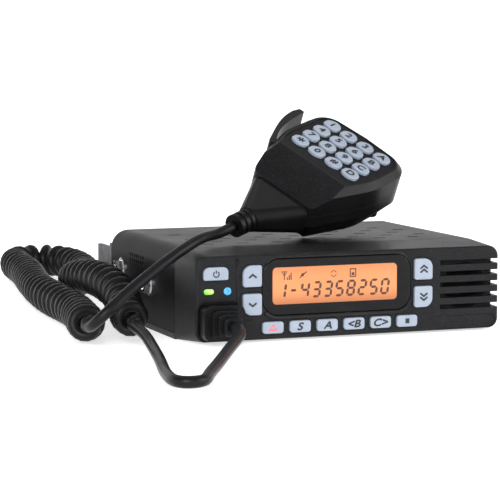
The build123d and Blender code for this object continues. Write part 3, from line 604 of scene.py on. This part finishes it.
READOUT = "1-43358250"
marks = digits(READOUT, -29.2, -5.6, 5.85)
mast = [(-27.2, 6.6), (-24.6, 6.6), (-25.9, 4.7)]
aerial = ribbon(scaled(mast, MM), 0.3 * MM, closed=True)
aerial += ribbon(scaled([(-25.9, 6.6), (-25.9, 2.7)], MM), 0.45 * MM)
for step in range(3):
    foot = -24.3 + step * 0.9
    aerial += ribbon(scaled([(foot, 2.7), (foot, 3.9 + step * 1.1)], MM), 0.5 * MM)
pointer = ribbon(scaled([(-18.3, 3.3), (-14.6, 6.3)], MM), 0.45 * MM)
pointer += ribbon(scaled([(-17.5, 5.3), (-14.9, 5.7)], MM), 0.3 * MM)
pointer += [scaled([(-17.8, 4.4), (-15.9, 4.1), (-16.6, 5.4)], MM)]
loop = ribbon(scaled(arc((-0.9, 4.8), 1.35, 20, 160), MM), 0.34 * MM)
loop += ribbon(scaled(arc((-0.9, 4.8), 1.35, 200, 340), MM), 0.34 * MM)
battery = ribbon(scaled([(7.6, 3.0), (10.4, 3.0), (10.4, 6.7), (7.6, 6.7)], MM), 0.5 * MM, True)
battery += [scaled([(8.3, 3.6), (9.7, 3.6), (9.7, 5.0), (8.3, 5.0)], MM)]
marks += aerial + pointer + loop + battery
finished("screen_marks", on_window(plates(marks, SHEET), 1), "radio", crystal_dark)


# ------------------------------------------------------------------ panel relief
RIM_BEND = 9.2 * MM
RIM_GAP = 0.2 * MM
BEAD_SINK = 0.02 * MM
PANEL_FRONT = -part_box("front_panel")[0][1]
# Painted highlight: the beads are the panel's black plastic, given paler colours so the window's rim
# reads as lit.
bead_painted_highlight = moulded(
    "window bead plastic painted paler", (0.008, 0.0078, 0.0078), (0.05, 0.047, 0.046), 0.36, 0.0005, 0.00005
)


def raised_rim(outline, width, height):
    """A low half-round bead along an open line, set a hair into the panel's face."""
    shape = bmesh.new()
    section = [(math.cos(math.radians(a)), math.sin(math.radians(a))) for a in range(0, 181, 20)]
    rings = []
    for i, point in enumerate(outline):
        ahead = Vector(outline[min(i + 1, len(outline) - 1)])
        behind = Vector(outline[max(i - 1, 0)])
        way = (ahead - behind).normalized()
        out = Vector((way.y, -way.x))
        spots = [(Vector(point) + out * u * width / 2, v * height) for u, v in section]
        rings.append([shape.verts.new((p.x, p.y, z)) for p, z in spots])
    for a, b in zip(rings, rings[1:]):
        for k in range(len(a)):
            n = (k + 1) % len(a)
            shape.faces.new((a[k], a[n], b[n], b[k]))
    for face in shape.faces:
        face.smooth = True
    shape.faces.new(rings[0])
    shape.faces.new(rings[-1])
    bmesh.ops.recalc_face_normals(shape, faces=shape.faces)
    mesh = bpy.data.meshes.new("rim")
    shape.to_mesh(mesh)
    shape.free()
    mesh.transform(front @ Matrix.Translation((0, 0, PANEL_FRONT - BEAD_SINK)))
    return mesh


def window_bead(name, width, height, turn):
    """A bead along the window's upper (1) or lower (-1) edge, round into its corners."""
    out = RIM_GAP + width / 2
    left = window_low[0] - out + RIM_BEND
    right = window_high[0] + out - RIM_BEND
    level = (window_high[2] + out - RIM_BEND) if turn > 0 else (window_low[2] - out + RIM_BEND)
    edge = arc((right, level), RIM_BEND, 45 * turn, 90 * turn, 10)
    edge += arc((left, level), RIM_BEND, 90 * turn, 135 * turn, 10)
    finished(name, raised_rim(edge, width, height), "radio", bead_painted_highlight)


window_bead("window_bead_top", 1.1 * MM, 0.5 * MM, 1)
window_bead("window_bead_low", 2.0 * MM, 0.8 * MM, -1)

FOLD = [(-57.4, 39.6), (-57.4, 30.0), (-57.2, 22.0), (-56.4, 16.0), (-54.4, 12.4), (-50.8, 10.9)]
fold = raised_rim(scaled(FOLD, MM), 1.3 * MM, 0.45 * MM)
finished("panel_fold", fold, "radio", finishes["panel_plastic"])

# ------------------------------------------------------------------ curly cord
CORD_D = 5.2 * MM
TURN_R = 6.8 * MM
PITCH = 9.6 * MM
RING = 14
STEPS_A_TURN = 16
LEAD_IN = 16 * MM
CORD_STEP = 2.4 * MM
WANDER = 0.5
WANDER_EVERY = 0.11
UNEVEN = 0.03
UNEVEN_EVERY = 0.017

plug_lead = [
    (-0.0662, -0.0826, 0.0108),
    (-0.0662, -0.0950, 0.0108),
    (-0.0785, -0.1130, 0.0074),
    (-0.0940, -0.1395, 0.0046),
    (-0.1060, -0.1600, 0.0032),
    (-0.1135, -0.1760, 0.0027),
    (-0.1255, -0.1740, 0.0027),
    (-0.1220, -0.1500, 0.0027),
    (-0.1130, -0.1170, 0.0027),
    (-0.1075, -0.0900, 0.0044),
    (-0.1055, -0.0720, 0.0082),
]
curly_run = [
    (-0.1060, -0.0580, 0.0096),
    (-0.1020, -0.0340, 0.0125),
    (-0.0965, -0.0060, 0.0185),
    (-0.0950, 0.0240, 0.0215),
    (-0.0945, 0.0550, 0.0210),
    (-0.0930, 0.0870, 0.0165),
    (-0.0820, 0.1200, 0.0110),
    (-0.0670, 0.1520, 0.0096),
    (-0.0585, 0.1860, 0.0096),
    (-0.0575, 0.2180, 0.0096),
    (-0.0660, 0.2400, 0.0096),
    (-0.0840, 0.2390, 0.0096),
    (-0.0910, 0.2170, 0.0096),
    (-0.0930, 0.1860, 0.0096),
    (-0.0990, 0.1520, 0.0096),
    (-0.1060, 0.1160, 0.0096),
    (-0.1110, 0.0800, 0.0096),
    (-0.1130, 0.0440, 0.0096),
    (-0.1145, 0.0080, 0.0096),
    (-0.1210, -0.0280, 0.0096),
    (-0.1270, -0.0540, 0.0096),
]
BOOT_END = microphone @ Vector((0, -0.0763, -0.017))
mic_lead = [
    (-0.1270, -0.0630, 0.0125),
    (-0.1225, -0.0665, 0.0175),
    (-0.1140, -0.0635, 0.0240),
    (-0.1020, -0.0595, 0.0319),
    (-0.0880, -0.0550, 0.0402),
    (-0.0735, -0.0485, 0.0470),
    (-0.0635, -0.0385, 0.0486),
    tuple(microphone @ Vector((0, -0.0870, -0.017))),
    tuple(BOOT_END),
]


def smooth_line(points):
    """The points of one smooth spline that the route's points control."""
    curve = bpy.data.curves.new("route", "CURVE")
    curve.dimensions = "3D"
    curve.resolution_u = 16
    spline = curve.splines.new("NURBS")
    spline.points.add(len(points) - 1)
    for knot, point in zip(spline.points, points):
        knot.co = (*point, 1)
    spline.order_u = 3
    spline.use_endpoint_u = True
    maker = bpy.data.objects.new("route", curve)
    mesh = bpy.data.meshes.new_from_object(maker)
    bpy.data.objects.remove(maker)
    return [v.co.copy() for v in mesh.vertices]


def lengths_along(points):
    """How far along the line each point is."""
    far = [0.0]
    for a, b in zip(points, points[1:]):
        far.append(far[-1] + (b - a).length)
    return far


def evenly(points, gap):
    """The same line as points an even gap apart."""
    far = lengths_along(points)
    count = round(far[-1] / gap)
    made = []
    place = 0
    for step in range(count + 1):
        target = far[-1] * step / count
        while place < len(points) - 2 and far[place + 1] < target:
            place += 1
        share = (target - far[place]) / (far[place + 1] - far[place])
        made.append(points[place].lerp(points[place + 1], share))
    return made


def carried_frames(points):
    """Two directions square to the line at each point, carried along without twist."""
    last = len(points) - 1
    ways = [
        (points[min(i + 1, last)] - points[max(i - 1, 0)]).normalized() for i in range(len(points))
    ]
    side = ways[0].orthogonal().normalized()
    frames = []
    for way in ways:
        side = (side - way * side.dot(way)).normalized()
        frames.append((side, way.cross(side)))
    return frames


def ease(value):
    """0 to 1 with a soft start and end."""
    value = min(max(value, 0.0), 1.0)
    return value * value * (3 - 2 * value)


def curled(points, first, last):
    """The line wound into a helix between two of its points."""
    far = lengths_along(points)
    wound = []
    for i, (side, up) in enumerate(carried_frames(points)):
        into = far[i] - far[first]
        left = far[last] - far[i]
        radius = TURN_R * ease(into / LEAD_IN) * ease(left / LEAD_IN)
        turn = math.tau * into / PITCH + WANDER * math.sin(math.tau * into / WANDER_EVERY)
        radius *= 1 - UNEVEN * (1 + math.sin(into / UNEVEN_EVERY))
        wound.append(points[i] + (side * math.cos(turn) + up * math.sin(turn)) * radius)
    return wound


def round_tube(points, diameter, ring):
    """A closed round tube along a line."""
    shape = bmesh.new()
    rings = []
    for centre, (side, up) in zip(points, carried_frames(points)):
        turns = [math.tau * k / ring for k in range(ring)]
        spokes = [(side * math.cos(t) + up * math.sin(t)) * diameter / 2 for t in turns]
        rings.append([shape.verts.new(centre + spoke) for spoke in spokes])
    for a, b in zip(rings, rings[1:]):
        for k in range(ring):
            n = (k + 1) % ring
            shape.faces.new((a[k], a[n], b[n], b[k]))
    shape.faces.new(list(reversed(rings[0])))
    shape.faces.new(rings[-1])
    for face in shape.faces:
        face.smooth = len(face.verts) == 4
    mesh = bpy.data.meshes.new("tube")
    shape.to_mesh(mesh)
    shape.free()
    return mesh


route = evenly(smooth_line(plug_lead + curly_run + mic_lead), PITCH / STEPS_A_TURN)


def nearest(point):
    """Which point of the route is nearest to a place."""
    return min(range(len(route)), key=lambda i: (route[i] - Vector(point)).length)


line = curled(route, nearest(curly_run[0]), nearest(curly_run[-1]))
line = evenly(line, CORD_STEP)
cord = finished("curly_cord", round_tube(line, CORD_D, RING), None, jacket)
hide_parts("cord_lead_plug", "cord_coil", "cord_lead_mic")
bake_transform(cord)

# ------------------------------------------------------------------ floor, light and camera
FLAT_R = 2.6
BEND_R = 0.8
WALL_TOP = 1.6
SPOKES = 96
BOWL = [(0.001, 0.0), (1.0, 0.0), (FLAT_R, 0.0)]
for degrees in range(10, 91, 10):
    bend = math.radians(degrees)
    BOWL.append((FLAT_R + BEND_R * math.sin(bend), BEND_R - BEND_R * math.cos(bend)))
BOWL.append((FLAT_R + BEND_R, WALL_TOP))
bowl = bmesh.new()
bowl_rings = []
for radius, height in BOWL:
    turns = [math.tau * k / SPOKES for k in range(SPOKES)]
    spots = [(radius * math.cos(t), radius * math.sin(t), height) for t in turns]
    bowl_rings.append([bowl.verts.new(spot) for spot in spots])
bowl.faces.new(bowl_rings[0])
for inner, outer in zip(bowl_rings, bowl_rings[1:]):
    for k in range(SPOKES):
        n = (k + 1) % SPOKES
        bowl.faces.new((inner[k], outer[k], outer[n], inner[n]))
for face in bowl.faces:
    face.smooth = True
floor_mesh = bpy.data.meshes.new("floor")
bowl.to_mesh(floor_mesh)
bowl.free()
finished("floor", floor_mesh, None, pale_floor("pale floor"))


def softbox(name, place, aim, size, power):
    """A white rectangular area light turned to a point."""
    light = bpy.data.lights.new(name, "AREA")
    light.shape = "RECTANGLE"
    light.size, light.size_y = size
    light.energy = power
    lamp = bpy.data.objects.new(name, light)
    lamp.location = place
    lamp.rotation_euler = (Vector(aim) - Vector(place)).to_track_quat("-Z", "Y").to_euler()
    bpy.context.scene.collection.objects.link(lamp)


softbox("key_softbox", (-0.9, -1.3, 0.75), (0, 0, 0.05), (1.0, 0.8), 22)
softbox("right_softbox", (1.2, -0.8, 0.6), (0, 0, 0.05), (0.9, 0.9), 13)
softbox("top_softbox", (0.1, 0.6, 1.4), (0, 0, 0.05), (1.2, 0.7), 3)

world = bpy.data.worlds.new("studio")
world.use_nodes = True
world.node_tree.nodes["Background"].inputs["Color"].default_value = (1, 1, 1, 1)
world.node_tree.nodes["Background"].inputs["Strength"].default_value = 0.26
bpy.context.scene.world = world
bpy.context.scene.view_settings.view_transform = "Standard"

AZIMUTH = math.radians(20.663)
DOWN = math.radians(5.851)
look = Vector(
    (math.sin(AZIMUTH) * math.cos(DOWN), math.cos(AZIMUTH) * math.cos(DOWN), -math.sin(DOWN))
)
lens = bpy.data.cameras.new("camera")
lens.lens = 159.07
lens.sensor_width = 36
lens.clip_end = 20
camera = bpy.data.objects.new("camera", lens)
camera.location = (-0.4112, -1.0173, 0.1482)
camera.rotation_euler = look.to_track_quat("-Z", "Y").to_euler()
bpy.context.scene.collection.objects.link(camera)
bpy.context.scene.camera = camera
